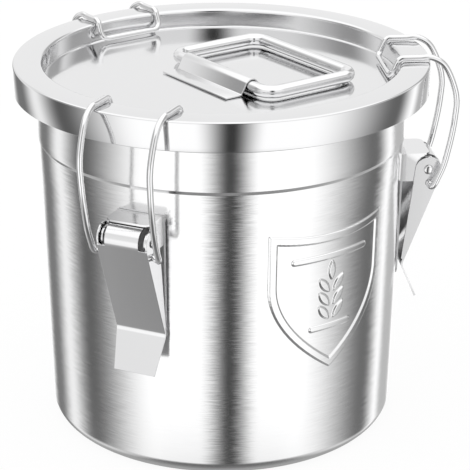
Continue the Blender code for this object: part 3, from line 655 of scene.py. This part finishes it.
bracket_steel, shader, flow = metal("bracket_steel", PALE_STEEL, 0.2)
lines = grain_lines(flow, (700, 700, 14), 2.0)
plate = 1 - out_from_axis(flow).between(PLATE_OUTSIDE, PLATE_OUTSIDE + PLATE_FADE)
connect(0.09 + 0.08 * lines + 0.36 * plate, shader, "Roughness")


def eased_sheet(node_name, name):
    """A folded sheet piece from its plain solid, with the soft edges that a press and a tumbling drum leave."""
    bpy.ops.object.select_all(action="DESELECT")
    piece = bpy.data.objects.new(name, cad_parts[node_name].data.copy())
    scene.collection.objects.link(piece)
    bpy.context.view_layer.objects.active = piece
    piece.select_set(True)
    piece.data.materials.clear()
    bpy.ops.object.mode_set(mode="EDIT")
    bpy.ops.mesh.select_all(action="SELECT")
    bpy.ops.mesh.remove_doubles(threshold=CAD_WELD)
    bpy.ops.mesh.customdata_custom_splitnormals_clear()
    bpy.ops.mesh.dissolve_limited(angle_limit=FLAT_WITHIN)
    bpy.ops.object.mode_set(mode="OBJECT")
    soften = piece.modifiers.new("edge", "BEVEL")
    soften.width = SHEET_EDGE
    soften.segments = 3
    soften.limit_method = "ANGLE"
    soften.angle_limit = FOLD_ANGLE
    soften.harden_normals = True
    bpy.ops.object.shade_smooth_by_angle(angle=FOLD_ANGLE)
    bpy.ops.object.modifier_apply(modifier=soften.name)
    return piece


for latch in LATCHES:
    bracket = eased_sheet(latch + "_bracket", latch + "_bracket_plate")
    bracket.data.materials.append(bracket_steel)
    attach(bracket, "barrel_body")
    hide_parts(latch + "_bracket")

# ---------------------------------------------------------------------------------------------------------------
# Latch levers. Each is folded from one piece of the same sheet: a roll over the rivets, a face, a finger tab bent
# out at its foot, and a flange on each side that takes the rivets and the wire's ends.

for latch in LATCHES:
    lever = eased_sheet(latch + "_lever", latch + "_lever_plate")
    lever.data.materials.append(sheet_steel)
    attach(lever, "lever" + latch[-2:] + "_body")
    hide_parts(latch + "_lever")

# ---------------------------------------------------------------------------------------------------------------
# Rivets. Small steel pins, two to a latch, each set with a low dome on the lever's flange and another inside the
# ear of the bracket.

FIRST_LATCH = math.radians(-24.4)
THIRD = math.tau / 3
PIVOT_RADIUS = 0.1314
PIVOT_HEIGHT = 0.1624
RIVET_RADIUS = 0.0020
RIVET_HEAD_RADIUS = 0.0031
RIVET_DOME = 0.0013
RIVET_RIM = 0.0004
EAR_INSIDE = 0.0130
FLANGE_OUTSIDE = 0.0166


def turn_to_latch(index):
    """The turn about the barrel's axis that takes +X to a latch."""
    return Matrix.Rotation(FIRST_LATCH + index * THIRD - math.pi / 2, 4, "Z")


def dome(base, rise, steps=7):
    """Half of a low domed head, from its rim to its top, by (radius, height)."""
    turns = [math.pi / 2 * step / steps for step in range(steps)]
    return [(RIVET_HEAD_RADIUS * math.cos(turn), base + rise * math.sin(turn)) for turn in turns]


outer_head = [(RIVET_HEAD_RADIUS, FLANGE_OUTSIDE)] + dome(FLANGE_OUTSIDE + RIVET_RIM, RIVET_DOME - RIVET_RIM)
inner_head = [(RIVET_HEAD_RADIUS, EAR_INSIDE)] + dome(EAR_INSIDE - RIVET_RIM, RIVET_RIM - RIVET_DOME)
outline = list(reversed(inner_head)) + [(RIVET_RADIUS, EAR_INSIDE), (RIVET_RADIUS, FLANGE_OUTSIDE)] + outer_head
rivet = spun("rivet", outline, 32)
rivet.data.materials.append(bright_wire)
rivet_mesh = rivet.data
bpy.data.objects.remove(rivet)
for index, latch in enumerate(LATCHES):
    for hand, side in (("_left", -1), ("_right", 1)):
        shape = rivet_mesh.copy()
        shape.transform(Matrix.Rotation(-side * math.pi / 2, 4, "X"))
        shape.transform(Matrix.Translation((PIVOT_RADIUS, 0, PIVOT_HEIGHT)))
        shape.transform(turn_to_latch(index))
        rivet = bpy.data.objects.new(latch + "_pin" + hand, shape)
        scene.collection.objects.link(rivet)
        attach(rivet, "barrel_body")
        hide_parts(latch + "_rivet" + hand)

# ---------------------------------------------------------------------------------------------------------------
# Latch wires. 3.8 mm bright spring wire: both ends turn in through the lever's flanges, the legs bow out round the
# lid's edge, and the closed end hooks over the rim into the recess.

WIRE_RADIUS = 0.0019
HOLE_OUT = 0.0002
HOLE_DROP = 0.0088
LEVER_HALF_WIDTH = 0.0163
WIRE_HALF_WIDTH = 0.0228
WIRE_END = 0.01485
FOOT_HALF_WIDTH = 0.0214
WIRE_BOW = 0.0143
WIRE_CORNER = 0.0050
BAR_RADIUS = 0.1032
BAR_HEIGHT = 0.22705
FOOT_BEND = 0.0032
WIRE_GAP = 0.0003
HOOK_END = 142
RUN_SHARES = (0.98, 0.60, 0.20)
CORNER_LEAD = 1.5

# A foot's bend by (out, side, up): out and up in lengths of FOOT_BEND, side as a share of the way from the lever to
# the leg. Then the leg by (out, up), as shares of the bow and of the height from the hole to the rim.
FOOT = ((0, 0.12, 0), (0.14, 0.50, -0.34), (0.50, 0.88, -0.34), (0.96, 1, 0.32), (1.32, 1, 1.09))
LEG = (
    (0.56, 0.155), (0.73, 0.278), (0.89, 0.430), (0.97, 0.552),
    (1, 0.648), (0.90, 0.748), (0.57, 0.887), (0.26, 0.958),
)


def eased(knots, steps=10):
    """A smooth line through the knots, as wire takes between its bends."""
    knots = [2 * knots[0] - knots[1]] + knots + [2 * knots[-1] - knots[-2]]
    line = []
    for before, start, end, after in zip(knots, knots[1:], knots[2:], knots[3:]):
        length = (end - start).length
        into = (end - before) * length / (length + (start - before).length)
        out = (after - start) * length / ((after - end).length + length)
        for step in range(steps):
            t = step / steps
            line.append(
                (2 * t**3 - 3 * t**2 + 1) * start
                + (t**3 - 2 * t**2 + t) * into
                + (3 * t**2 - 2 * t**3) * end
                + (t**3 - t**2) * out
            )
    return line + [knots[-2]]


def wire_line():
    """The wire's middle line, from its right foot to its left: X out of the barrel, Y across, Z up."""
    foot_z = PIVOT_HEIGHT - HOLE_DROP
    foot_x = PIVOT_RADIUS + HOLE_OUT
    run_z = LID_TOP + WIRE_RADIUS + WIRE_GAP
    knots = [Vector((foot_x, WIRE_END, foot_z)), Vector((foot_x, LEVER_HALF_WIDTH, foot_z))]
    for out, side, up in FOOT:
        across = LEVER_HALF_WIDTH + (FOOT_HALF_WIDTH - LEVER_HALF_WIDTH) * side
        knots.append(Vector((foot_x + FOOT_BEND * out, across, foot_z + FOOT_BEND * up)))
    for out, up in LEG:
        across = FOOT_HALF_WIDTH + (WIRE_HALF_WIDTH - FOOT_HALF_WIDTH) * up
        knots.append(Vector((foot_x + WIRE_BOW * out, across, foot_z + (run_z - foot_z) * up)))
    rim_edge = math.sqrt((RECESS_RADIUS + INNER_BEND) ** 2 - (WIRE_HALF_WIDTH + WIRE_RADIUS) ** 2)
    run = LID_RADIUS - OUTER_BEND - rim_edge
    knots += [Vector((rim_edge + run * share, WIRE_HALF_WIDTH, run_z)) for share in RUN_SHARES]
    hook = INNER_BEND + WIRE_RADIUS + WIRE_GAP
    for out, up in bend(rim_edge, run_z - hook, hook, 90, HOOK_END, 3):
        knots.append(Vector((out, WIRE_HALF_WIDTH, up)))
    corner = Vector((BAR_RADIUS, WIRE_HALF_WIDTH, BAR_HEIGHT))
    back = (knots[-1] - corner).normalized()
    across = Vector((0, -1, 0))
    knots += [corner + back * WIRE_CORNER * CORNER_LEAD, corner + back * WIRE_CORNER]
    for step in (1, 2):
        turn = math.pi / 2 * step / 3
        knots.append(corner + WIRE_CORNER * (back * (1 - math.sin(turn)) + across * (1 - math.cos(turn))))
    knots += [corner + across * WIRE_CORNER, corner + across * WIRE_CORNER * CORNER_LEAD]
    half = eased(knots)
    return half + [Vector((place.x, -place.y, place.z)) for place in reversed(half)]


wire = rod("latch_wire", wire_line(), WIRE_RADIUS)
wire.data.materials.append(bright_wire)
wire_mesh = wire.data
bpy.data.objects.remove(wire)
for index, latch in enumerate(LATCHES):
    shape = wire_mesh.copy()
    shape.transform(turn_to_latch(index))
    wire = bpy.data.objects.new(latch + "_bail", shape)
    scene.collection.objects.link(wire)
    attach(wire, "wire" + latch[-2:] + "_body")
    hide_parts(latch + "_wire")
